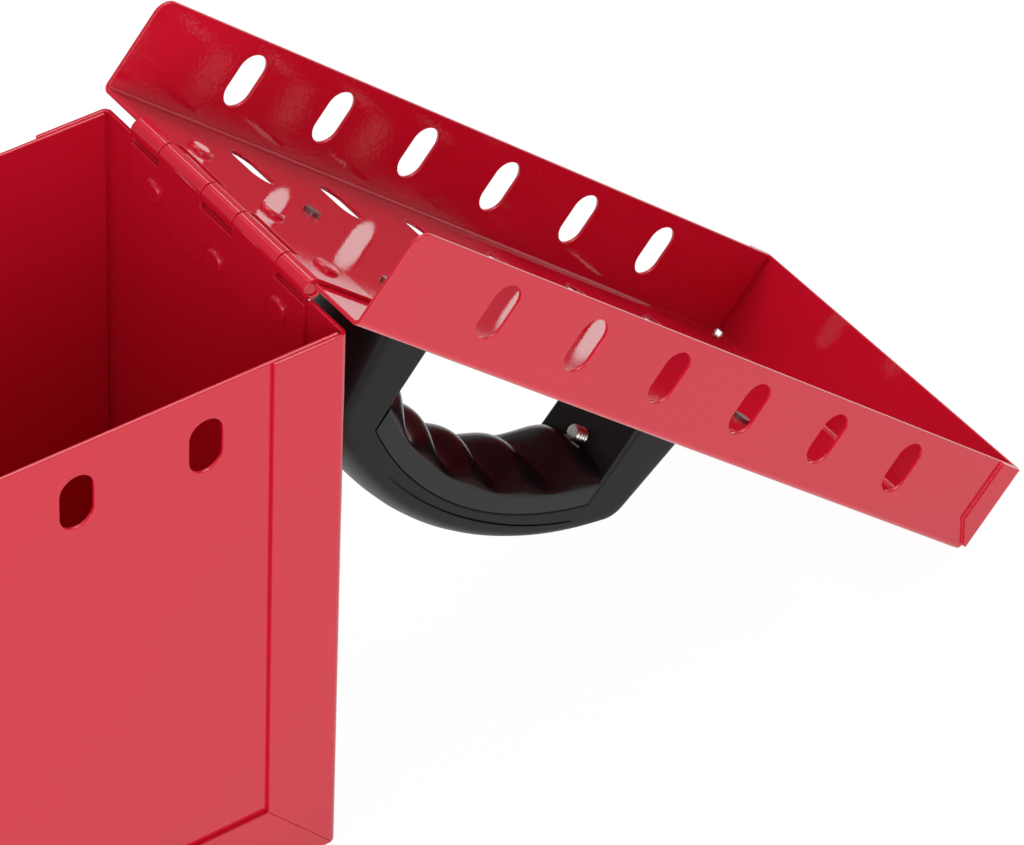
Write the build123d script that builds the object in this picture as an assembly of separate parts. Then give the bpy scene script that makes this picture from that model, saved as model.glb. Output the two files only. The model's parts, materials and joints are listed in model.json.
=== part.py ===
from build123d import *
import math
import os

# Group lockout box in folded sheet steel, with its lid swung open on an end hinge.
# Millimetres, +Z up. The origin is the middle of the base, and the hinge end is at +X.

# Sheet and folds
sheet = 1.0
bend_inside = 0.8
seam_gap = 0.4

# Case
case_length = 233.0
case_depth = 92.0
case_height = 150.0
tab_width = 18.6
base_flange = 20.0

# Lid
lid_gap = 0.3
lid_side_gap = 1.4
lid_end_gap = 1.0
lid_overhang = 1.6
lid_flange = 24.6
lid_corner_radius = 4.0
lid_tab_width = 8.0
lid_tab_height = 16.6
relief_radius = 1.1
floor_clearance = 0.2

# Padlock slots
slot_count = 6
slot_pitch = 31.75
slot_start = 34.9
case_slot_drop = 15.0
case_slot_width = 8.4
case_slot_length = 14.0
lid_slot_drop = 14.3
lid_slot_width = 8.0
lid_slot_length = 13.5
plate_slot_width = 7.5
plate_slot_length = 14.0
plate_slot_y = 31.8

# Hinge
leaf = 1.0
barrel_radius = 2.6
pin_radius = 1.5
pin_running_gap = 0.05
hinge_y = 1.0
knuckle_lengths = (10.8, 16.3, 11.8, 16.3, 10.8)
knuckle_gap = 0.3
barrel_clearance = 0.45
leaf_reach = 18.6
leaf_corner_radius = 1.0
pin_recess = 0.4

# Rivets of the hinge leaves
rivet_radius = 1.5
rivet_hole_gap = 0.05
rivet_head_radius = 3.2
rivet_head_height = 1.0
rivet_head_round = 0.85
rivet_pitch = 23.9
rivet_near = 10.4
rivet_far = 13.7

# Handle
foot_rivet_gap = 6.9
handle_width = 25.0
handle_rise = 52.0
crown_radius = 93.0
handle_half_base = 62.0
leg_lean = 6.6
shoulder_radius = 9.0
grip_half_span = 40.3
grip_ceiling = 42.6
side_bevel_depth = 3.0
side_bevel_width = 8.0
groove_width = 0.6
groove_depth = 0.5
groove_inset = 6.9
groove_angle = 27.0
foot_length = 23.0
foot_width = 42.0
foot_height = 5.0
foot_corner_radius = 7.0

# Grip insert
grip_half_width = 12.4
grip_bar_depth = 8.5
grip_overrun = 3.0
lobe_count = 5
lobe_pitch = 19.5
lobe_depth = 10.9
end_lobe_depth = 12.8
lobe_radius = 11.6

# Screws
foot_screw_step = 6.2
handle_screw_y = 14.7
handle_screw_radius = 2.0
handle_screw_tip = 1.0
screw_hole_gap = 0.1
screw_hole_overrun = 1.0
screw_head_radius = 3.9
screw_head_height = 2.6
screw_head_round = 1.1
recess_span = 4.2
recess_width = 0.8
recess_depth = 1.2
grip_screw_drop = 11.3
grip_screw_radius = 1.5
grip_screw_reach = 4.0
grip_head_radius = 2.9
grip_head_height = 2.0
grip_head_round = 0.9

# Worked out from the sizes above
bend_outside = bend_inside + sheet
hinge_end = case_length / 2
latch_end = -case_length / 2
wall_outside = case_depth / 2 - sheet
wall_inside = wall_outside - sheet
axis_x = hinge_end - sheet - leaf + barrel_radius
axis_z = case_height + lid_gap - leaf + barrel_radius
plate_under = case_height + lid_gap
plate_top = plate_under + sheet
lid_half_width = case_depth / 2 + lid_side_gap + sheet
lid_hinge_edge = hinge_end + lid_overhang
lid_far_inside = latch_end - lid_end_gap
lid_far_outside = lid_far_inside - sheet
lid_lower_edge = plate_top - lid_flange
case_slot_z = case_height - case_slot_drop
lid_slot_z = plate_top - lid_slot_drop
hinge_width = sum(knuckle_lengths)
pin_bore = pin_radius + pin_running_gap
notch_half_width = hinge_width / 2 + barrel_clearance
foot_end = axis_x - rivet_far - rivet_head_radius - foot_rivet_gap
handle_x = foot_end - foot_length - handle_half_base
handle_screw_x = handle_half_base + foot_screw_step
crown_centre_z = plate_top + handle_rise - crown_radius
ceiling_radius = crown_radius - (handle_rise - grip_ceiling)
grip_corner_z = crown_centre_z + math.sqrt(ceiling_radius ** 2 - grip_half_span ** 2)
grip_screw_z = grip_corner_z - grip_screw_drop

# The lid rests with the round of its far top edge just above the surface the case stands on.
edge_dx = lid_far_outside + bend_outside - axis_x
edge_dz = plate_top - bend_outside - axis_z
edge_reach = math.hypot(edge_dx, edge_dz)
edge_angle = math.degrees(math.atan2(edge_dz, -edge_dx))
drop_ratio = (axis_z - bend_outside - floor_clearance) / edge_reach
open_angle = 180 + math.degrees(math.asin(drop_ratio)) - edge_angle

hinge_axis = Axis((axis_x, 0, axis_z), (0, 1, 0))


def block(x0, x1, y0, y1, z0, z1):
    """A box between two corners."""
    centre = ((x0 + x1) / 2, (y0 + y1) / 2, (z0 + z1) / 2)
    return Pos(*centre) * Box(abs(x1 - x0), abs(y1 - y0), abs(z1 - z0))


def rod(start, direction, radius, length):
    """A cylinder from a start point along a direction."""
    return extrude(Plane(start, z_dir=direction) * Circle(radius), amount=length)


def along_y(points, y0, y1):
    """A closed outline in X and Z, run from y0 to y1."""
    outline = [Vector(x, y0, z) for x, z in points]
    return extrude(make_face(Polyline(*outline, close=True)), amount=y1 - y0, dir=(0, 1, 0))


def upright_slot(x, z, width, length, y0, y1):
    """A slot that stands upright and runs through a long wall."""
    plane = Plane((x, y0, z), x_dir=(0, 0, 1), z_dir=(0, 1, 0))
    return extrude(plane * SlotOverall(length, width), amount=y1 - y0)


def slot_places():
    """X of each padlock slot, counted from the hinge end."""
    return [hinge_end - slot_start - i * slot_pitch for i in range(slot_count)]


def knuckle_spans():
    """Start and end of each knuckle along the hinge, with half a gap taken off inside ends."""
    spans = []
    start = hinge_y - hinge_width / 2
    last = len(knuckle_lengths) - 1
    for i, length in enumerate(knuckle_lengths):
        low = start if i == 0 else start + knuckle_gap / 2
        high = start + length if i == last else start + length - knuckle_gap / 2
        spans.append((low, high))
        start += length
    return spans


def rivet_places():
    """Distance along the hinge, and from its axis, of each rivet of a leaf."""
    return [(hinge_y - rivet_pitch, rivet_near), (hinge_y, rivet_far), (hinge_y + rivet_pitch, rivet_near)]


def opened(solid):
    """Swings a piece that was made in the closed position to the rest position."""
    return solid.rotate(hinge_axis, open_angle)


def case_wrap():
    """Base and both end walls in one strip, with tabs and base flanges folded over the long sides."""
    half = case_depth / 2
    outer = block(latch_end, hinge_end, -half, half, 0, case_height)
    folds = outer.edges().filter_by(Axis.Z) + outer.faces().sort_by(Axis.Z)[0].edges()
    outer = fillet(folds, bend_outside)
    inner = block(latch_end + sheet, hinge_end - sheet, -wall_outside, wall_outside, sheet, 2 * case_height)
    folds = inner.edges().filter_by(Axis.Z) + inner.faces().sort_by(Axis.Z)[0].edges()
    wrap = outer - fillet(folds, bend_inside)
    for side in (-1, 1):
        y0, y1 = sorted((side * wall_inside, side * (half + sheet)))
        wrap -= block(latch_end + tab_width, hinge_end - tab_width, y0, y1, base_flange, 2 * case_height)
        for end in (-1, 1):
            wrap -= corner_seam(end, y0, y1)
    wrap -= block(hinge_end - bend_outside, hinge_end + sheet, hinge_y - notch_half_width,
                  hinge_y + notch_half_width, axis_z - barrel_radius - barrel_clearance, 2 * case_height)
    for y, reach in rivet_places():
        hole = rivet_radius + rivet_hole_gap
        wrap -= rod((hinge_end - 2 * sheet, y, axis_z - reach), (1, 0, 0), hole, 3 * sheet)
    return wrap


def corner_seam(end, y0, y1):
    """The open mitre between an end tab and a base flange."""
    corner = end * hinge_end
    inner_x = corner - end * tab_width
    lean = end * seam_gap / 2
    points = [
        (corner - end * bend_outside + lean, bend_outside - seam_gap / 2),
        (inner_x - end * seam_gap + lean, base_flange + seam_gap - seam_gap / 2),
        (inner_x - end * seam_gap - lean, base_flange + seam_gap + seam_gap / 2),
        (corner - end * bend_outside - lean, bend_outside + seam_gap / 2),
    ]
    return along_y(points, y0, y1)


def long_wall(side):
    """A flat wall inside the tabs and the base flange, with its padlock slots."""
    y0, y1 = sorted((side * wall_inside, side * wall_outside))
    reach = case_length / 2 - sheet - bend_inside
    wall = block(-reach, reach, y0, y1, sheet + bend_inside, case_height)
    for x in slot_places():
        wall -= upright_slot(x, case_slot_z, case_slot_width, case_slot_length, y0 - sheet, y1 + sheet)
    return wall


def leaf_plate(x0, x1, z0, z1, edge_axis):
    """A hinge leaf's flat plate, with the corners away from the barrel rounded."""
    low, high = hinge_y - hinge_width / 2, hinge_y + hinge_width / 2
    plate = block(x0, x1, low, high, z0, z1)
    across = Axis.X if edge_axis == Axis.Z else Axis.Z
    corners = plate.edges().filter_by(across).group_by(edge_axis)[0]
    return fillet(corners, leaf_corner_radius)


def add_knuckles(plate, own, clear_box):
    """Rolls a leaf's own knuckles and cuts room for the other leaf's."""
    for i, (low, high) in enumerate(knuckle_spans()):
        if i in own:
            plate += rod((axis_x, low, axis_z), (0, 1, 0), barrel_radius, high - low)
        else:
            plate -= clear_box(low - knuckle_gap, high + knuckle_gap)
    start = hinge_y - hinge_width
    return plate - rod((axis_x, start, axis_z), (0, 1, 0), pin_bore, 2 * hinge_width)


def case_leaf():
    """The hinge leaf inside the end wall, which rolls the second and fourth knuckles."""
    x0 = axis_x - barrel_radius
    plate = leaf_plate(x0, x0 + leaf, axis_z - leaf_reach, axis_z, Axis.Z)
    below = axis_z - barrel_radius - barrel_clearance
    plate = add_knuckles(plate, (1, 3), lambda low, high: block(
        x0 - leaf, x0 + 2 * leaf, low, high, below, axis_z + barrel_radius))
    for y, reach in rivet_places():
        start = (x0 - leaf, y, axis_z - reach)
        plate -= rod(start, (1, 0, 0), rivet_radius + rivet_hole_gap, 3 * leaf)
    return plate


def lid_leaf():
    """The hinge leaf under the lid plate, which rolls the first, third and fifth knuckles."""
    z0 = axis_z - barrel_radius
    plate = leaf_plate(axis_x - leaf_reach, axis_x, z0, z0 + leaf, Axis.X)
    beside = axis_x - barrel_radius - barrel_clearance
    plate = add_knuckles(plate, (0, 2, 4), lambda low, high: block(
        beside, axis_x + barrel_radius, low, high, z0 - leaf, z0 + 2 * leaf))
    for y, reach in rivet_places():
        start = (axis_x - reach, y, z0 - leaf)
        plate -= rod(start, (0, 0, 1), rivet_radius + rivet_hole_gap, 3 * leaf)
    return plate


def hinge_pin():
    """The pin through all five knuckles, a little short of the barrel at each end."""
    length = hinge_width - 2 * pin_recess
    return rod((axis_x, hinge_y - length / 2, axis_z), (0, 1, 0), pin_radius, length)


def domed_rivet(place, direction, grip):
    """A rivet with a domed head on each side of the sheets that it grips."""
    into = Vector(*direction)
    start = Vector(*place)
    rivet = rod(start - into * rivet_head_height, direction, rivet_radius, grip + 2 * rivet_head_height)
    for face, outward in ((start, into * -1), (start + into * grip, into)):
        head = rod(face, outward, rivet_head_radius, rivet_head_height)
        rim = head.edges().filter_by(GeomType.CIRCLE).sort_by(lambda e: (e.center() - face).dot(outward))[-1]
        rivet += fillet(rim, rivet_head_round)
    return rivet


def case_rivet(y, reach):
    """A rivet through the case leaf and the end wall."""
    return domed_rivet((axis_x - barrel_radius, y, axis_z - reach), (1, 0, 0), leaf + sheet)


def lid_rivet(y, reach):
    """A rivet through the lid leaf and the lid plate."""
    return domed_rivet((axis_x - reach, y, axis_z - barrel_radius), (0, 0, 1), leaf + sheet)


def lid_tray():
    """The lid's plate and side flanges, with the hinge end and the far end still open."""
    far_end = lid_far_inside + seam_gap
    outer = block(far_end, lid_hinge_edge, -lid_half_width, lid_half_width, lid_lower_edge, plate_top)
    folds = outer.edges().filter_by(Axis.X).group_by(Axis.Z)[-1]
    outer = fillet(folds, bend_outside)
    inside = lid_half_width - sheet
    inner = block(far_end - sheet, lid_hinge_edge + sheet, -inside, inside, 0, plate_under)
    folds = inner.edges().filter_by(Axis.X).group_by(Axis.Z)[-1]
    tray = outer - fillet(folds, bend_inside)
    corners = tray.edges().filter_by(Axis.Y).group_by(Axis.X)[-1].group_by(Axis.Z)[0]
    return fillet(corners, lid_corner_radius)


def lid_end_flange():
    """The far flange, folded down from the plate, with tabs lapped outside the side flanges."""
    lap = lid_half_width + sheet
    top = plate_top - bend_outside
    outer = block(lid_far_outside, lid_far_outside + lid_tab_width, -lap, lap, lid_lower_edge, top)
    outer = fillet(outer.edges().filter_by(Axis.Z).group_by(Axis.X)[0], bend_outside)
    inner = block(lid_far_inside, lid_far_inside + lid_tab_width, -lid_half_width, lid_half_width,
                  lid_lower_edge - sheet, top + sheet)
    inner = fillet(inner.edges().filter_by(Axis.Z).group_by(Axis.X)[0], bend_inside)
    flange = outer - inner
    slope = lid_tab_width - sheet
    shoulder = lid_lower_edge + lid_tab_height
    trim = [
        (lid_far_outside + lid_tab_width, shoulder),
        (lid_far_outside + lid_tab_width - slope, shoulder + slope),
        (lid_far_outside + lid_tab_width - slope, plate_top),
        (lid_far_outside + 2 * lid_tab_width, plate_top),
        (lid_far_outside + 2 * lid_tab_width, shoulder),
    ]
    for y0 in (-2 * lap, lid_half_width - bend_inside):
        flange -= along_y(trim, y0, y0 + 2 * lap - lid_half_width + bend_inside)
    return flange


def lid_end_fold():
    """The fold that joins the lid's plate to its far flange."""
    reach = lid_half_width - bend_outside
    fold_x = lid_far_outside + bend_outside
    fold_z = plate_top - bend_outside
    fold = rod((fold_x, -reach, fold_z), (0, 1, 0), bend_outside, 2 * reach)
    fold -= rod((fold_x, -reach, fold_z), (0, 1, 0), bend_inside, 2 * reach)
    quarter = block(lid_far_outside - sheet, fold_x, -reach, reach, fold_z, plate_top + sheet)
    strip = block(fold_x, fold_x + bend_outside, -reach, reach, plate_under, plate_top)
    return (fold & quarter) + strip


def lid_shell():
    """The whole folded lid with its slots, corner reliefs, hinge notch and holes."""
    lid = lid_tray() + lid_end_fold() + lid_end_flange()
    lap = lid_half_width + 2 * sheet
    for x in slot_places():
        lid -= upright_slot(x, lid_slot_z, lid_slot_width, lid_slot_length, -lap, lap)
        for side in (-1, 1):
            plane = Plane((x, side * plate_slot_y, plate_under - sheet), x_dir=(0, 1, 0), z_dir=(0, 0, 1))
            lid -= extrude(plane * SlotOverall(plate_slot_length, plate_slot_width), amount=3 * sheet)
    for side in (-1, 1):
        relief_y = side * (lid_half_width - bend_outside)
        relief_x = lid_far_outside + bend_outside
        lid -= rod((relief_x, relief_y, plate_under - sheet), (0, 0, 1), relief_radius, 3 * sheet)
    lid -= block(axis_x - barrel_radius - barrel_clearance, lid_hinge_edge + sheet,
                 hinge_y - notch_half_width, hinge_y + notch_half_width, plate_under - sheet, plate_top + sheet)
    for y, reach in rivet_places():
        hole = rivet_radius + rivet_hole_gap
        lid -= rod((axis_x - reach, y, plate_under - sheet), (0, 0, 1), hole, 3 * sheet)
    for x, y in handle_screw_places():
        hole = handle_screw_radius + screw_hole_gap
        lid -= rod((x, y, plate_under - sheet), (0, 0, 1), hole, 3 * sheet)
    return lid


def handle_screw_places():
    """Where the four screws hold the handle's feet to the lid."""
    return [(handle_x + i * handle_screw_x, j * handle_screw_y) for i in (1, -1) for j in (-1, 1)]


def bow_outline(y, inset):
    """The bow seen from the side: leaning legs, rounded shoulders and an arched crown."""
    base = plate_top - side_bevel_depth
    half_base = handle_half_base - inset
    half_shoulder = handle_half_base - leg_lean - inset
    radius = crown_radius - inset
    shoulder_z = crown_centre_z + math.sqrt(radius ** 2 - half_shoulder ** 2)
    right_foot = Vector(handle_x + half_base, y, base)
    right_shoulder = Vector(handle_x + half_shoulder, y, shoulder_z)
    crown = Vector(handle_x, y, crown_centre_z + radius)
    left_shoulder = Vector(handle_x - half_shoulder, y, shoulder_z)
    left_foot = Vector(handle_x - half_base, y, base)
    sides = [
        Line(right_foot, right_shoulder),
        ThreePointArc(right_shoulder, crown, left_shoulder),
        Line(left_shoulder, left_foot),
        Line(left_foot, right_foot),
    ]
    face = make_face(sides)
    shoulders = face.vertices().sort_by(Axis.Z)[-2:]
    return fillet(shoulders, shoulder_radius - inset)


def bow_blank():
    """The solid arch, full in the middle and drawn in towards both sides."""
    flat = handle_width / 2 - side_bevel_width
    blank = extrude(bow_outline(-flat, 0), amount=2 * flat, dir=(0, 1, 0))
    for side in (-1, 1):
        full = bow_outline(side * flat, 0)
        drawn_in = bow_outline(side * handle_width / 2, side_bevel_depth)
        blank += loft([full, drawn_in])
    return blank


def bow_opening():
    """The space inside the bow, between its legs and under the seat of the grip."""
    half = handle_width
    space = block(handle_x - grip_half_span, handle_x + grip_half_span, -half, half,
                  plate_top - handle_rise, plate_top + handle_rise)
    return space & rod((handle_x, -half, crown_centre_z), (0, 1, 0), ceiling_radius, 2 * half)


def handle_foot(end):
    """A flat foot outside a leg, with rounded outer corners."""
    inner = handle_x + end * grip_half_span
    outer = handle_x + end * (handle_half_base + foot_length)
    foot = block(inner, outer, -foot_width / 2, foot_width / 2, plate_top, plate_top + foot_height)
    corners = foot.edges().filter_by(Axis.Z).sort_by(lambda e: end * e.center().X)[-2:]
    return fillet(corners, foot_corner_radius)


def side_groove(side):
    """A fine decorative groove along the crown on one side of the bow."""
    face_y = side * handle_width / 2
    start = (handle_x, face_y - side * groove_depth, crown_centre_z)
    radius = crown_radius - groove_inset
    ring = rod(start, (0, side, 0), radius + groove_width / 2, 2 * groove_depth)
    ring -= rod(start, (0, side, 0), radius - groove_width / 2, 2 * groove_depth)
    reach = crown_radius * math.sin(math.radians(groove_angle))
    return ring & block(handle_x - reach, handle_x + reach, face_y - side, face_y + side,
                        crown_centre_z, plate_top + handle_rise)


def grip_screw_axis(end):
    """The seat of a grip screw's head on a leg, and the direction that it is driven in."""
    seat = handle_half_base - leg_lean - grip_head_height
    return (handle_x + end * seat, 0, grip_screw_z), (-end, 0, 0)


def grip_screw_length():
    """Length of a grip screw under its head: through the leg and a little way into the grip."""
    return handle_half_base - leg_lean - grip_head_height - grip_half_span + grip_screw_reach


def handle_bow():
    """The moulded bow with bevelled outer rims, two feet, a groove on each side and screw holes."""
    bow = bow_blank() - bow_opening()
    bow += handle_foot(1) + handle_foot(-1)
    bow -= block(handle_x - case_length, handle_x + case_length, -case_depth, case_depth,
                 plate_top - case_height, plate_top)
    bow -= side_groove(-1) + side_groove(1)
    for x, y in handle_screw_places():
        bow -= rod((x, y, plate_top - sheet), (0, 0, 1), handle_screw_radius + screw_hole_gap, 2 * foot_height)
    for end in (-1, 1):
        seat, inward = grip_screw_axis(end)
        outward = (end, 0, 0)
        hole_length = grip_screw_length() + screw_hole_overrun
        bow -= rod(seat, inward, grip_screw_radius + screw_hole_gap, hole_length)
        bore_length = grip_head_height + leg_lean + screw_hole_overrun
        bow -= rod(seat, outward, grip_head_radius + screw_hole_gap, bore_length)
    return bow


def finger_lobes():
    """Each finger lobe's angle about the crown's centre, from straight up, and its depth."""
    step = lobe_pitch / ceiling_radius
    middle = (lobe_count - 1) / 2
    ends = (0, lobe_count - 1)
    return [((i - middle) * step, end_lobe_depth if i in ends else lobe_depth) for i in range(lobe_count)]


def grip_insert():
    """The soft finger grip: a half-round bar under the crown with a row of swollen lobes."""
    bend = Axis((handle_x, 0, crown_centre_z), (0, 1, 0))
    end_angle = math.degrees(math.asin(grip_half_span / (ceiling_radius - grip_bar_depth))) + grip_overrun
    bar_plane = Plane((handle_x, 0, crown_centre_z + ceiling_radius), x_dir=(0, 1, 0), z_dir=(-1, 0, 0))
    bar_section = bar_plane * Ellipse(grip_half_width, grip_bar_depth)
    grip = revolve(bar_section.rotate(bend, -end_angle), bend, 2 * end_angle)
    for angle, depth in finger_lobes():
        reach = ceiling_radius - depth + lobe_radius
        x = handle_x + reach * math.sin(angle)
        z = crown_centre_z + reach * math.cos(angle)
        grip += Pos(x, 0, z) * Sphere(lobe_radius)
    grip &= rod((handle_x, -handle_width, crown_centre_z), (0, 1, 0), ceiling_radius, 2 * handle_width)
    grip &= block(handle_x - grip_half_span, handle_x + grip_half_span, -handle_width, handle_width,
                  plate_top, plate_top + handle_rise)
    for end in (-1, 1):
        seat, inward = grip_screw_axis(end)
        grip -= rod(seat, inward, grip_screw_radius + screw_hole_gap, grip_screw_length() + screw_hole_gap)
    return grip


def pan_head(seat, inward, radius, height, rounding):
    """A screw's pan head with a cross recess, standing out from its seat."""
    into = Vector(*inward)
    head = rod(seat, into * -1, radius, height)
    top = Vector(*seat) - into * height
    rim = head.edges().filter_by(GeomType.CIRCLE).sort_by(lambda e: (e.center() - top).length)[0]
    head = fillet(rim, rounding)
    for turn in (0, 90):
        head -= Plane(top, z_dir=inward) * Rot(0, 0, turn) * Box(recess_span, recess_width, 2 * recess_depth)
    return head


def handle_screw(x, y):
    """A screw down through a foot, threaded in the lid's plate, its tip just proud inside."""
    seat = (x, y, plate_top + foot_height)
    down = (0, 0, -1)
    shank = rod(seat, down, handle_screw_radius, foot_height + sheet + handle_screw_tip)
    return shank + pan_head(seat, down, screw_head_radius, screw_head_height, screw_head_round)


def grip_screw(end):
    """A screw through a leg of the bow into the end of the grip."""
    seat, inward = grip_screw_axis(end)
    shank = rod(seat, inward, grip_screw_radius, grip_screw_length())
    return shank + pan_head(seat, inward, grip_head_radius, grip_head_height, grip_head_round)


def all_pieces():
    """Every piece of the box by name, with the lid's pieces swung open."""
    pieces = {
        "case_wrap": case_wrap(),
        "front_wall": long_wall(-1),
        "back_wall": long_wall(1),
        "case_hinge_leaf": case_leaf(),
        "hinge_pin": hinge_pin(),
        "lid_shell": opened(lid_shell()),
        "lid_hinge_leaf": opened(lid_leaf()),
        "handle_bow": opened(handle_bow()),
        "handle_grip": opened(grip_insert()),
    }
    for i, (y, reach) in enumerate(rivet_places(), start=1):
        pieces[f"case_rivet_{i}"] = case_rivet(y, reach)
        pieces[f"lid_rivet_{i}"] = opened(lid_rivet(y, reach))
    for i, (x, y) in enumerate(handle_screw_places(), start=1):
        pieces[f"handle_screw_{i}"] = opened(handle_screw(x, y))
    for i, end in enumerate((1, -1), start=1):
        pieces[f"grip_screw_{i}"] = opened(grip_screw(end))
    return pieces


os.makedirs("parts", exist_ok=True)
for name, piece in all_pieces().items():
    export_step(piece, f"parts/{name}.step")
print(f"open angle {open_angle:.3f} degrees, hinge axis at x {axis_x:.3f}, z {axis_z:.3f}")
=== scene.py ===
import json
import math

import bmesh
import bpy
from mathutils import Matrix, Vector


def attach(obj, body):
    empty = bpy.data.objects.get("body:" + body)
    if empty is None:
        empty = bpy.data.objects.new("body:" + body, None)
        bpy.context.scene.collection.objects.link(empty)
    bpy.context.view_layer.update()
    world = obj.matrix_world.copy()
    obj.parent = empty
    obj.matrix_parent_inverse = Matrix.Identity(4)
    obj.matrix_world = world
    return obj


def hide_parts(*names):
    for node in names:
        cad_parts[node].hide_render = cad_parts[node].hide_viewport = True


# A group lockout box: a folded steel case, its lid swung open on an end hinge, and a carrying handle.
# Metres, +Z up. The origin is the middle of the base, and the hinge end is at +X.

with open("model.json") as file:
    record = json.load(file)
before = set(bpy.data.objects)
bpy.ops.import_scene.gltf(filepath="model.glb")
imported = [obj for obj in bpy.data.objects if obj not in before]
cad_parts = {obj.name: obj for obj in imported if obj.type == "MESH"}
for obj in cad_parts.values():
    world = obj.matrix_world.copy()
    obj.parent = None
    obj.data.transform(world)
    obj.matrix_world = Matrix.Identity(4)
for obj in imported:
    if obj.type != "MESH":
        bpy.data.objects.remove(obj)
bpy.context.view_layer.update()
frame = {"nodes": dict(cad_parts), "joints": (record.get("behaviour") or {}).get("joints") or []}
nodes = frame["nodes"]
mm = 0.001


# Camera: a long lens from the front left, well above the box, as in the photograph.
# The whole frame is 1024 by 845 pixels, and the box's base runs out of it at the lower left.
lens = 202.86
camera_place = Vector((-420.0, -792.6, 923.3)) * mm
sight_line = Vector((0.46404, 0.59674, -0.65465))
horizon_tilt = math.radians(2.813)
nearest_seen = 0.05
farthest_seen = 20

camera = bpy.data.objects.new("camera", bpy.data.cameras.new("camera"))
bpy.context.scene.collection.objects.link(camera)
camera.data.lens = lens
camera.data.clip_start = nearest_seen
camera.data.clip_end = farthest_seen
aim = sight_line.to_track_quat("-Z", "Y").to_matrix().to_4x4()
camera.matrix_world = Matrix.Translation(camera_place) @ aim @ Matrix.Rotation(horizon_tilt, 4, "Z")
bpy.context.scene.camera = camera
bpy.context.scene.view_settings.view_transform = "Standard"


# Studio: a pale floor under the box and soft white light, most of it from the camera's side.
# The surroundings are white to the camera and dimmer as light. The floor is white in reflections too.
def linear_colour(code):
    """An sRGB hex code as linear red, green, blue and alpha."""
    parts = [int(code[i:i + 2], 16) / 255 for i in (1, 3, 5)]
    return [c / 12.92 if c <= 0.04045 else ((c + 0.055) / 1.055) ** 2.4 for c in parts] + [1.0]


def add_node(tree, kind, inputs=(), **settings):
    """Adds a node with its settings, then sets or links its inputs."""
    node = tree.nodes.new(kind)
    for name, value in settings.items():
        setattr(node, name, value)
    for socket, value in dict(inputs).items():
        if isinstance(value, bpy.types.NodeSocket):
            tree.links.new(value, node.inputs[socket])
        else:
            node.inputs[socket].default_value = value
    return node


def ray_is(tree, first_kind, second_kind):
    """1 for rays of either kind, and 0 for the light that a surface gathers."""
    path = add_node(tree, "ShaderNodeLightPath")
    kinds = {0: path.outputs[first_kind], 1: path.outputs[second_kind]}
    return add_node(tree, "ShaderNodeMath", kinds, operation="MAXIMUM").outputs[0]


surroundings_light = 0.40
floor_size = 6.0
floor_paleness = "#F4F4F3"
floor_glow = 1.05
floor_glow_share = 0.92

world = bpy.data.worlds.new("studio")
world.use_nodes = True
sky = world.node_tree
sky.nodes.clear()
lit = add_node(sky, "ShaderNodeBackground", {"Color": linear_colour("#FFFFFF"), "Strength": surroundings_light})
white = add_node(sky, "ShaderNodeBackground", {"Color": linear_colour("#FFFFFF"), "Strength": 1.0})
seen = ray_is(sky, "Is Camera Ray", "Is Transmission Ray")
both = add_node(sky, "ShaderNodeMixShader", {0: seen, 1: lit.outputs[0], 2: white.outputs[0]})
add_node(sky, "ShaderNodeOutputWorld", {"Surface": both.outputs[0]})
bpy.context.scene.world = world

floor_mesh = bmesh.new()
bmesh.ops.create_grid(floor_mesh, x_segments=1, y_segments=1, size=floor_size / 2)
floor_data = bpy.data.meshes.new("studio_floor")
floor_mesh.to_mesh(floor_data)
floor_mesh.free()
floor = bpy.data.objects.new("studio_floor", floor_data)
bpy.context.scene.collection.objects.link(floor)
floor_material = bpy.data.materials.new("matt_white_paper")
floor_material.use_nodes = True
paper = floor_material.node_tree
paper.nodes.clear()
matt = add_node(paper, "ShaderNodeBsdfDiffuse", {"Color": linear_colour(floor_paleness)})
glow = add_node(paper, "ShaderNodeEmission", {"Color": linear_colour("#FFFFFF"), "Strength": floor_glow})
mirrored = ray_is(paper, "Is Camera Ray", "Is Glossy Ray")
share = add_node(paper, "ShaderNodeMath", {0: mirrored, 1: floor_glow_share}, operation="MULTIPLY")
surface = add_node(paper, "ShaderNodeMixShader", {0: share.outputs[0], 1: matt.outputs[0], 2: glow.outputs[0]})
add_node(paper, "ShaderNodeOutputMaterial", {"Surface": surface.outputs[0]})
floor_data.materials.append(floor_material)

box_middle = Vector((60, 0, 90)) * mm
lamps = {
    "key_lamp": (Vector((-0.75, -1.05, 0.35)), 1.4, 15.0),
    "fill_lamp": (Vector((1.1, -1.0, 0.7)), 0.9, 0.4),
    "case_lamp": (Vector((-0.15, 0.5, 1.5)), 1.0, 2.0),
    "lid_lamp": (Vector((0.6, 0.45, 1.3)), 0.9, 8.0),
}
for lamp_name, (lamp_place, lamp_side, lamp_power) in lamps.items():
    lamp = bpy.data.objects.new(lamp_name, bpy.data.lights.new(lamp_name, "AREA"))
    lamp.data.shape = "SQUARE"
    lamp.data.size = lamp_side
    lamp.data.energy = lamp_power
    lamp.visible_camera = False
    lamp.location = lamp_place
    lamp.rotation_euler = (box_middle - lamp_place).to_track_quat("-Z", "Y").to_euler()
    bpy.context.scene.collection.objects.link(lamp)


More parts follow.
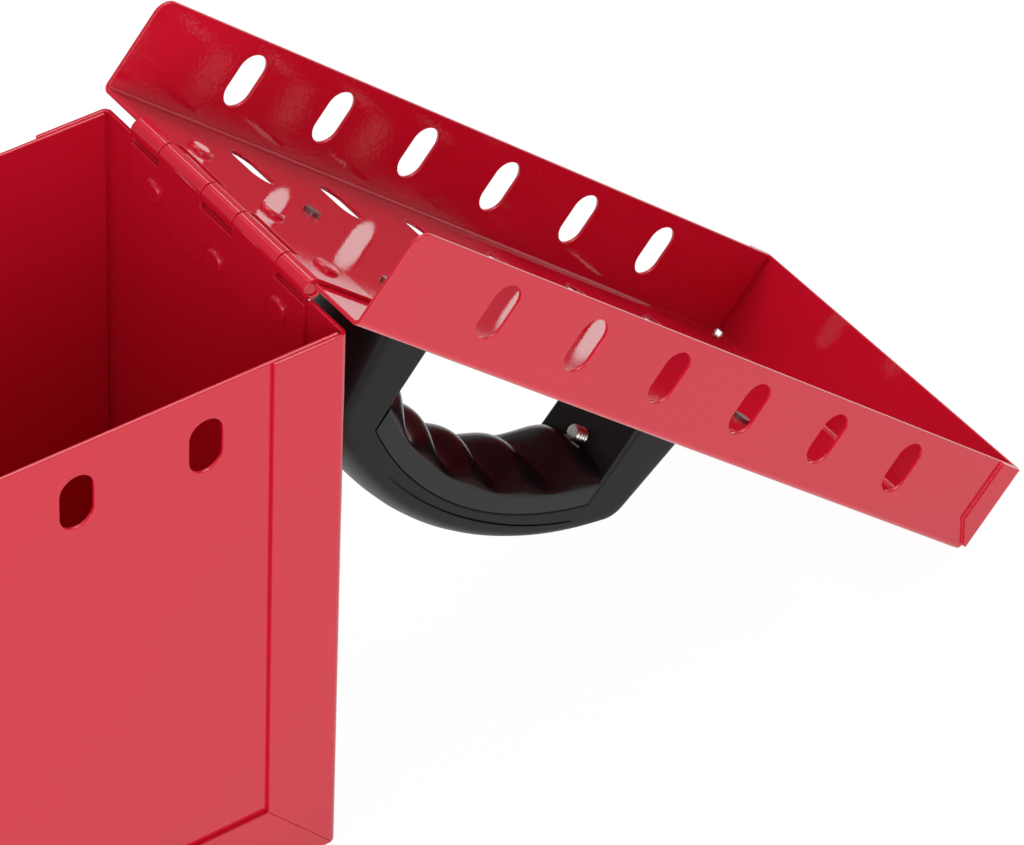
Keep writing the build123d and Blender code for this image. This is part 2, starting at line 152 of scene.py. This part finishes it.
# Case: a folded strip for the base and ends, and two flat long walls spot-welded inside it.
# Everything is 1 mm sheet steel under a smooth, glossy red powder coat, which rounds every cut edge.
# The coat mirrors its surroundings through a faint orange peel, with a fine nib every 7 mm or so.
coat_edge = 0.22 * mm
sharp_fold = math.radians(35)
flat_tolerance = math.radians(1)
peel_size = 1.1 * mm
peel_depth = 0.018 * mm
nib_spacing = 7 * mm
nib_radius = 0.3 * mm
nib_height = 0.05 * mm
cloud_size = 70 * mm
same_point = 0.001 * mm
mitre_root_x = (114.7 * mm, 118 * mm)
mitre_root_y = 44 * mm
mitre_root_top = 1.9 * mm


def principled(name, roughness, metallic=0.0):
    """A new material with one main shader, and its tree, shader and object coordinates."""
    material = bpy.data.materials.new(name)
    material.use_nodes = True
    tree = material.node_tree
    shader = tree.nodes["Principled BSDF"]
    shader.inputs["Roughness"].default_value = roughness
    shader.inputs["Metallic"].default_value = metallic
    place = add_node(tree, "ShaderNodeTexCoord").outputs["Object"]
    return material, tree, shader, place


def cloud_colour(tree, shader, place, size, first, second):
    """Clouds the shader's colour between two tones, and returns the clouds' strength."""
    clouds = add_node(tree, "ShaderNodeTexNoise", {"Vector": place, "Scale": 1 / size, "Detail": 3.0})
    tones = {"Factor": clouds.outputs["Fac"], "A": linear_colour(first), "B": linear_colour(second)}
    tone = add_node(tree, "ShaderNodeMix", tones, data_type="RGBA")
    tree.links.new(tone.outputs["Result"], shader.inputs["Base Color"])
    return clouds.outputs["Fac"]


def raise_surface(tree, shader, height, strength, depth):
    """Bumps the shader's surface by a height of 0 to 1 times the depth."""
    bump = add_node(tree, "ShaderNodeBump", {"Height": height, "Strength": strength, "Distance": depth})
    tree.links.new(bump.outputs["Normal"], shader.inputs["Normal"])


def powder_coat():
    """Glossy red polyester powder coat on steel."""
    material, tree, shader, place = principled("red_powder_coat", roughness=0.05)
    cloud_colour(tree, shader, place, cloud_size, "#D31430", "#D91734")
    peel = add_node(tree, "ShaderNodeTexNoise", {"Vector": place, "Scale": 1 / peel_size, "Detail": 2.0})
    grid = add_node(tree, "ShaderNodeTexVoronoi", {"Vector": place, "Scale": 1 / nib_spacing})
    nib_shape = {"Value": grid.outputs["Distance"], "From Min": 0.0, "From Max": nib_radius / nib_spacing,
                 "To Min": nib_height / peel_depth, "To Max": 0.0}
    nib = add_node(tree, "ShaderNodeMapRange", nib_shape, interpolation_type="SMOOTHSTEP")
    relief = add_node(tree, "ShaderNodeMath", {0: peel.outputs["Fac"], 1: nib.outputs["Result"]}, operation="ADD")
    raise_surface(tree, shader, relief.outputs[0], 1.0, peel_depth)
    return material


red_coat = powder_coat()


def add_piece(name, mesh, material, body, stands_for):
    """Turns a finished bmesh into a piece on its body, in place of the CAD nodes that it stands for."""
    data = bpy.data.meshes.new(name)
    mesh.to_mesh(data)
    mesh.free()
    data.materials.append(material)
    piece = bpy.data.objects.new(name, data)
    bpy.context.scene.collection.objects.link(piece)
    weighted = piece.modifiers.new("even_shading", "WEIGHTED_NORMAL")
    weighted.keep_sharp = True
    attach(piece, body)
    if stands_for:
        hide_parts(*stands_for)
    return piece


def at_mitre_root(edge):
    """Whether an edge lies where three folds meet at a base corner of the case, too short to be rounded."""
    inner, outer = mitre_root_x
    return all(inner < abs(v.co.x) < outer and abs(v.co.y) > mitre_root_y and v.co.z < mitre_root_top
               for v in edge.verts)


def coated_sheet(name, node, body, edge_round=coat_edge):
    """A folded sheet from its CAD node, with the coat's rounding on its cut edges."""
    mesh = bmesh.new()
    mesh.from_mesh(nodes[node].data)
    bmesh.ops.remove_doubles(mesh, verts=mesh.verts, dist=same_point)
    bmesh.ops.dissolve_limit(mesh, angle_limit=flat_tolerance, verts=mesh.verts, edges=mesh.edges)
    cut_edges = [e for e in mesh.edges
                 if len(e.link_faces) == 2 and e.calc_face_angle() > sharp_fold and not at_mitre_root(e)]
    bmesh.ops.bevel(mesh, geom=cut_edges, offset=edge_round, offset_type="OFFSET", segments=2, profile=0.5,
                    affect="EDGES", material=-1, clamp_overlap=False)
    for face in mesh.faces:
        face.smooth = True
    return add_piece(name, mesh, red_coat, body, [node])


coated_sheet("case_strip", "case_wrap", "case")
coated_sheet("case_front", "front_wall", "case")
coated_sheet("case_back", "back_wall", "case")


# Hinge: two pressed leaves, rolled into five knuckles on a steel pin, and six domed rivets.
# It was riveted on before coating, so the same red coat covers it.
leaf_edge = 0.18 * mm

coated_sheet("case_leaf", "case_hinge_leaf", "case", leaf_edge)
coated_sheet("lid_leaf", "lid_hinge_leaf", "lid", leaf_edge)
for rivet in [n for n in nodes if "rivet" in n] + ["hinge_pin"]:
    nodes[rivet].data.materials.clear()
    nodes[rivet].data.materials.append(red_coat)


# Lid: one folded tray, its far flange lapped round the side flanges, with the same red coat.
coated_sheet("lid_tray", "lid_shell", "lid")


# Handle bow: one arch moulded in charcoal nylon with a crowned back, a groove on each side and two feet.
# Its surface is satin. Its back is rounded, and the inner rims of its legs grow rounder towards the feet.
hinge = Vector(frame["joints"][0]["pos_m"])
closing_angle = math.radians(220.463)
plate_below_hinge = 0.6 * mm
handle_from_hinge = 108.8 * mm
plate_top = hinge.z - plate_below_hinge
handle_middle = hinge.x - handle_from_hinge
opened = Matrix.Translation(hinge) @ Matrix.Rotation(closing_angle, 4, "Y") @ Matrix.Translation(-hinge)
bow_height = 52 * mm
crown_radius = 93 * mm
crown_centre = plate_top + bow_height - crown_radius
ceiling_radius = 83.6 * mm
half_span = 40.3 * mm
half_base = 62 * mm
leg_lean = 6.6 * mm
base_drop = 3 * mm
shoulder_radius = 9 * mm
corner_ease = 0.5 * mm
grain_size = 0.5 * mm
grain_depth = 0.02 * mm
grain_strength = 0.6
leg_steps, shoulder_steps, crown_steps, rim_steps = 8, 12, 28, 5

# Round one cross-section of the bow, in millimetres. The back is given as width and depth.
half_width = 12.5
crowned_back = ((0, 0), (3, 0.12), (6, 0.5), (8.5, 1.15), (10.4, 2.05), (11.6, 2.95), (12.25, 3.8),
                (half_width, 4.8))
groove_depth = 6.9
groove_half = 0.3
groove_sink = 0.55
groove_ends = (-29, 14, 24)
flat_half_width = 3.5
crown_rim = 0.8
leg_rim_top = 1.0
leg_rim_growth = 0.03
leg_rim_height = 32
ceiling_margin = 0.7


def nylon():
    """Glass-filled nylon, moulded in charcoal with a fine spark-eroded texture."""
    material, tree, shader, place = principled("charcoal_nylon", roughness=0.42)
    shader.inputs["Specular IOR Level"].default_value = 0.2
    grain = cloud_colour(tree, shader, place, grain_size, "#151315", "#1A181B")
    raise_surface(tree, shader, grain, grain_strength, grain_depth)
    return material


def smooth_step(value, low, high):
    """0 below the low value, 1 above the high one, and a soft rise between."""
    t = min(1.0, max(0.0, (value - low) / (high - low)))
    return t * t * (3 - 2 * t)


def bow_stations():
    """Outer and inner point of each cross-section, from one foot over the crown to the other."""
    foot = Vector((half_base, -base_drop))
    middle = Vector((0, crown_centre - plate_top))
    shoulder_x = half_base - leg_lean
    shoulder = Vector((shoulder_x, middle.y + math.sqrt(crown_radius ** 2 - shoulder_x ** 2)))
    along = (shoulder - foot).normalized()
    outward = Vector((along.y, -along.x))
    start = foot - outward * shoulder_radius - middle
    reach = start.dot(along)
    run = -reach + math.sqrt(reach ** 2 - start.length_squared + (crown_radius - shoulder_radius) ** 2)
    fillet_centre = middle + start + along * run
    leg_top = fillet_centre + outward * shoulder_radius
    crown_end = math.atan2(fillet_centre.x, fillet_centre.y - middle.y)
    leg_turn = math.atan2(outward.x, outward.y)
    corner_angle = math.asin(half_span / ceiling_radius)
    corner_height = middle.y + ceiling_radius * math.cos(corner_angle)
    inner_leg_top = corner_height - corner_ease
    inner_crown_end = corner_angle - corner_ease / ceiling_radius
    ceiling_end = middle + ceiling_radius * Vector((math.sin(inner_crown_end), math.cos(inner_crown_end)))
    half = []
    for i in range(leg_steps):
        t = i / leg_steps
        half.append((foot.lerp(leg_top, t), Vector((half_span, -base_drop + (inner_leg_top + base_drop) * t))))
    for i in range(shoulder_steps):
        t = i / shoulder_steps
        turn = leg_turn + (crown_end - leg_turn) * t
        outer = fillet_centre + shoulder_radius * Vector((math.sin(turn), math.cos(turn)))
        ease = Vector((half_span, inner_leg_top)).lerp(Vector((half_span, corner_height)), min(1, 2 * t))
        inner = ease.lerp(ceiling_end, max(0, 2 * t - 1))
        half.append((outer, inner))
    for i in range(crown_steps + 1):
        t = 1 - i / crown_steps
        outer = middle + crown_radius * Vector((math.sin(crown_end * t), math.cos(crown_end * t)))
        inner = middle + ceiling_radius * Vector((math.sin(inner_crown_end * t), math.cos(inner_crown_end * t)))
        half.append((outer, inner))
    other = [(Vector((-o.x, o.y)), Vector((-n.x, n.y))) for o, n in reversed(half[:-1])]
    return half + other


def on_lid(x, y, height):
    """A point given from the handle's middle on the lid's top, where it lies with the lid open."""
    return opened @ Vector((handle_middle + x, y, plate_top + height))


def bow_section(outer, inner):
    """The ring of points round one cross-section of the bow."""
    thickness = (inner - outer).length
    sink = groove_sink * groove_strength(outer)
    rim = inner_rim(inner)
    side = [(y, depth * mm) for y, depth in crowned_back]
    side += [(half_width, (groove_depth - groove_half) * mm),
             (half_width - sink, (groove_depth - groove_half / 2) * mm),
             (half_width - sink, (groove_depth + groove_half / 2) * mm),
             (half_width, (groove_depth + groove_half) * mm)]
    for step in range(rim_steps + 1):
        turn = math.pi / 2 * step / rim_steps
        side.append((half_width - rim * (1 - math.cos(turn)), thickness - rim * (1 - math.sin(turn)) * mm))
    side += [(flat_half_width, thickness), (0, thickness)]
    ring = side + [(-y, depth) for y, depth in reversed(side[1:-1])]
    inward = (inner - outer).normalized()
    points = []
    for y, depth in ring:
        spot = outer + inward * depth
        points.append(on_lid(spot.x, y * mm, spot.y))
    return points


def groove_strength(outer):
    """How deep the side groove is cut: full along the crown, faded out at the hinge side."""
    turn = math.degrees(math.atan2(outer.x, outer.y + plate_top - crown_centre))
    low, fading, high = groove_ends
    return 1.0 - smooth_step(turn, fading, high) if turn > low else 0.0


def inner_rim(inner):
    """Radius of the bow's inner rims in millimetres: fine on the crown, fuller down the legs."""
    ceiling = ceiling_radius - ceiling_margin * mm
    if inner.x ** 2 + (inner.y + plate_top - crown_centre) ** 2 > ceiling ** 2:
        return crown_rim
    return leg_rim_top + max(0.0, leg_rim_height - inner.y / mm) * leg_rim_growth


def skin_between(mesh, rings):
    """Bridges closed rings of points in order and closes both ends."""
    loops = []
    for points in rings:
        corners = [mesh.verts.new(p) for p in points]
        loops.append([mesh.edges.new((corners[i - 1], corners[i])) for i in range(len(corners))])
    for first, second in zip(loops, loops[1:]):
        bmesh.ops.bridge_loops(mesh, edges=first + second)
    for loop in (loops[0], loops[-1]):
        bmesh.ops.contextual_create(mesh, geom=loop)
    bmesh.ops.recalc_face_normals(mesh, faces=mesh.faces)


def scratch_object(name, mesh):
    """A mesh object that only cuts or joins another piece, and is removed afterwards."""
    data = bpy.data.meshes.new(name)
    mesh.to_mesh(data)
    mesh.free()
    shape = bpy.data.objects.new(name, data)
    bpy.context.scene.collection.objects.link(shape)
    return shape


def smoothed(shape):
    """A shape's mesh with its stray points merged, shaded smooth up to its crisp edges."""
    mesh = bmesh.new()
    mesh.from_mesh(shape.data)
    bpy.data.objects.remove(shape)
    bmesh.ops.remove_doubles(mesh, verts=mesh.verts, dist=stray_point)
    for face in mesh.faces:
        face.smooth = True
    for edge in mesh.edges:
        if len(edge.link_faces) == 2 and edge.calc_face_angle() > crisp_edge:
            edge.smooth = False
    return mesh


def combine(base, tool, operation):
    """Joins or cuts one shape with another and returns the new shape."""
    change = base.modifiers.new(operation, "BOOLEAN")
    change.operation = operation
    change.solver = "EXACT"
    change.object = tool
    bpy.context.view_layer.update()
    data = bpy.data.meshes.new_from_object(base.evaluated_get(bpy.context.evaluated_depsgraph_get()))
    base.modifiers.clear()
    base.data = data
    bpy.data.objects.remove(tool)
    return base


stray_point = 0.002 * mm
crisp_edge = math.radians(40)
foot_length = 23 * mm
foot_width = 42 * mm
foot_height = 5 * mm
foot_corner = 7 * mm
foot_edge = 0.8 * mm
rim_tolerance = 0.001 * mm


def foot_pad(end):
    """One flat foot with rounded outer corners and a softened top edge."""
    mesh = bmesh.new()
    bmesh.ops.create_cube(mesh, size=1.0)
    inner, outer = sorted((end * half_span, end * (half_base + foot_length)))
    size = Matrix.Diagonal((outer - inner, foot_width, foot_height, 1))
    centre = Vector(((inner + outer) / 2, 0, foot_height / 2))
    bmesh.ops.transform(mesh, matrix=Matrix.Translation(centre) @ size, verts=mesh.verts)
    corners = [e for e in mesh.edges
               if abs((e.verts[0].co - e.verts[1].co).z) > foot_height / 2
               and end * (e.verts[0].co.x - centre.x) > 0]
    bmesh.ops.bevel(mesh, geom=corners, offset=foot_corner, offset_type="OFFSET", segments=8, profile=0.5,
                    affect="EDGES", material=-1)
    rim = [e for e in mesh.edges if min(v.co.z for v in e.verts) > foot_height - rim_tolerance]
    bmesh.ops.bevel(mesh, geom=rim, offset=foot_edge, offset_type="OFFSET", segments=3, profile=0.5,
                    affect="EDGES", material=-1)
    move = opened @ Matrix.Translation((handle_middle, 0, plate_top))
    bmesh.ops.transform(mesh, matrix=move, verts=mesh.verts)
    return scratch_object("foot_pad", mesh)


def drum(start, end, radius):
    """A round bar between two points, turned a little so that no corner meets the bow's middle line."""
    mesh = bmesh.new()
    span = end - start
    turn = span.to_track_quat("Z", "Y").to_matrix().to_4x4() @ Matrix.Rotation(off_middle, 4, "Z")
    bmesh.ops.create_cone(mesh, cap_ends=True, segments=bore_sides, radius1=radius, radius2=radius,
                          depth=span.length, matrix=Matrix.Translation((start + end) / 2) @ turn)
    return mesh


bore_sides = 40
off_middle = math.radians(2)
grip_screw_height = 20.95 * mm
grip_head_height = 2 * mm
grip_head_seat = half_base - leg_lean - grip_head_height
grip_head_bore = 3.05 * mm
bore_overrun = 4 * mm
trim_size = Vector((300, 100, 20)) * mm

bow_mesh = bmesh.new()
skin_between(bow_mesh, [bow_section(o, n) for o, n in bow_stations()])
bmesh.ops.triangulate(bow_mesh, faces=bow_mesh.faces)
bow = scratch_object("handle_arch", bow_mesh)
below_plate = bmesh.new()
bmesh.ops.create_cube(below_plate, size=1.0)
trim = Matrix.Translation((handle_middle, 0, plate_top - trim_size.z / 2)) @ Matrix.Diagonal((*trim_size, 1))
bmesh.ops.transform(below_plate, matrix=opened @ trim, verts=below_plate.verts)
bow = combine(bow, scratch_object("below_plate", below_plate), "DIFFERENCE")
for end in (1, -1):
    bow = combine(bow, foot_pad(end), "UNION")
    bore_start = on_lid(end * grip_head_seat, 0, grip_screw_height)
    bore_end = on_lid(end * (half_base + bore_overrun), 0, grip_screw_height)
    bow = combine(bow, scratch_object("head_bore", drum(bore_start, bore_end, grip_head_bore)), "DIFFERENCE")
add_piece("handle_bow_moulding", smoothed(bow), nylon(), "lid", ["handle_bow"])


# Grip: a soft insert under the crown, moulded in glossy black rubber, flush with the bow's sides.
# Five finger humps swell from it, and a notch in its far end lays a little of the screw's thread bare.
grip_half_width = 12.4 * mm
grip_flush = 4.5 * mm
hump_valley = 7.4 * mm
hump_crest = 11.4 * mm
end_hump_crest = 12.2 * mm
hump_pitch = 19.5 * mm
hump_power = 0.7
end_hump_arc = (24 * mm, 38 * mm)
grip_reach = math.radians(36)
grip_gap = 0.2 * mm
ceiling_gap = 0.02 * mm
grip_stations = 220
grip_sides = 48
flank_steps = 4
base_steps = 8
notch_length = 4.0 * mm
notch_half_width = 4.0 * mm
notch_top = 21.4 * mm
rubber_cloud = 6 * mm


def rubber():
    """Smooth black rubber with a soft gloss."""
    material, tree, shader, place = principled("glossy_rubber", roughness=0.24)
    shader.inputs["Specular IOR Level"].default_value = 0.3
    cloud_colour(tree, shader, place, rubber_cloud, "#131213", "#181718")
    return material


def grip_section(turn):
    """The ring of points round the grip at one angle from the crown's top, in the closed lid's frame."""
    arc = turn * ceiling_radius
    hump = (0.5 + 0.5 * math.cos(2 * math.pi * arc / hump_pitch)) ** hump_power
    crest = hump_crest + (end_hump_crest - hump_crest) * smooth_step(abs(arc), *end_hump_arc)
    swell = (crest - hump_valley) * hump
    ring = []
    for i in range(grip_sides + 1):
        across, down = math.cos(math.pi * i / grip_sides), math.sin(math.pi * i / grip_sides)
        ring.append((grip_half_width * across, grip_flush + (hump_valley - grip_flush) * down + swell * down ** 2))
    ring += [(-grip_half_width, grip_flush * (1 - i / flank_steps)) for i in range(1, flank_steps + 1)]
    ring += [(-grip_half_width + 2 * grip_half_width * i / base_steps, 0.0) for i in range(1, base_steps)]
    ring += [(grip_half_width, grip_flush * i / flank_steps) for i in range(flank_steps)]
    radius = ceiling_radius - ceiling_gap
    return [Vector((math.sin(turn) * (radius - drop), y, crown_centre + math.cos(turn) * (radius - drop)))
            for y, drop in ring]


grip_mesh = bmesh.new()
skin_between(grip_mesh, [grip_section(grip_reach * (2 * i / grip_stations - 1))
                         for i in range(grip_stations + 1)])
for end in (1, -1):
    bmesh.ops.bisect_plane(grip_mesh, geom=grip_mesh.verts[:] + grip_mesh.edges[:] + grip_mesh.faces[:],
                           plane_co=(end * (half_span - grip_gap), 0, 0), plane_no=(end, 0, 0), clear_outer=True)
    bmesh.ops.holes_fill(grip_mesh, edges=[e for e in grip_mesh.edges if e.is_boundary], sides=0)
bmesh.ops.recalc_face_normals(grip_mesh, faces=grip_mesh.faces)
bmesh.ops.triangulate(grip_mesh, faces=grip_mesh.faces)
lay_on_lid = opened @ Matrix.Translation((handle_middle, 0, 0))
bmesh.ops.transform(grip_mesh, matrix=lay_on_lid, verts=grip_mesh.verts)
notch_mesh = bmesh.new()
bmesh.ops.create_cube(notch_mesh, size=1.0)
notch_size = Matrix.Diagonal((2 * notch_length, 2 * notch_half_width, 2 * notch_top, 1))
notch_place = lay_on_lid @ Matrix.Translation((-half_span, 0, plate_top))
bmesh.ops.transform(notch_mesh, matrix=notch_place @ notch_size, verts=notch_mesh.verts)
grip = combine(scratch_object("grip_bar", grip_mesh), scratch_object("end_notch", notch_mesh), "DIFFERENCE")
add_piece("finger_grip", smoothed(grip), rubber(), "lid", ["handle_grip"])


# Screws: zinc-plated steel, four down through the feet and two through the legs into the grip.
# The thread that the grip's notch lays bare is cut in rings along the far screw.
thread_start = -half_span + 0.1 * mm
thread_crest = 2.05 * mm
thread_root = 1.55 * mm
thread_pitch = 0.95 * mm
thread_turns = 4
thread_profile = ((0.0, thread_root), (0.32, thread_crest), (0.5, thread_crest), (0.82, thread_root))
thread_sides = 36
thread_edge = math.radians(25)
zinc_cloud = 1.2 * mm


def zinc(name, dull, pale, roughness):
    """Zinc plate on a steel screw, clouded between a dull and a pale tone."""
    material, tree, shader, place = principled(name, roughness, metallic=1.0)
    cloud_colour(tree, shader, place, zinc_cloud, dull, pale)
    return material


bright_zinc = zinc("bright_zinc", "#A9A6A2", "#CFCDC9", roughness=0.24)
dull_zinc = zinc("dull_zinc", "#6E6462", "#A8A09C", roughness=0.38)
for screw in [n for n in nodes if "screw" in n]:
    nodes[screw].data.materials.clear()
    nodes[screw].data.materials.append(bright_zinc if "grip" in screw else dull_zinc)

thread_mesh = bmesh.new()
thread_rings = []
angles = [math.tau * k / thread_sides for k in range(thread_sides)]
for turn in range(thread_turns):
    for share, radius in thread_profile:
        x = thread_start + (turn + share) * thread_pitch
        thread_rings.append([on_lid(x, radius * math.cos(a), grip_screw_height + radius * math.sin(a))
                             for a in angles])
skin_between(thread_mesh, thread_rings)
for face in thread_mesh.faces:
    face.smooth = True
for edge in thread_mesh.edges:
    edge.smooth = edge.calc_face_angle() < thread_edge
add_piece("grip_screw_thread", thread_mesh, bright_zinc, "lid", [])
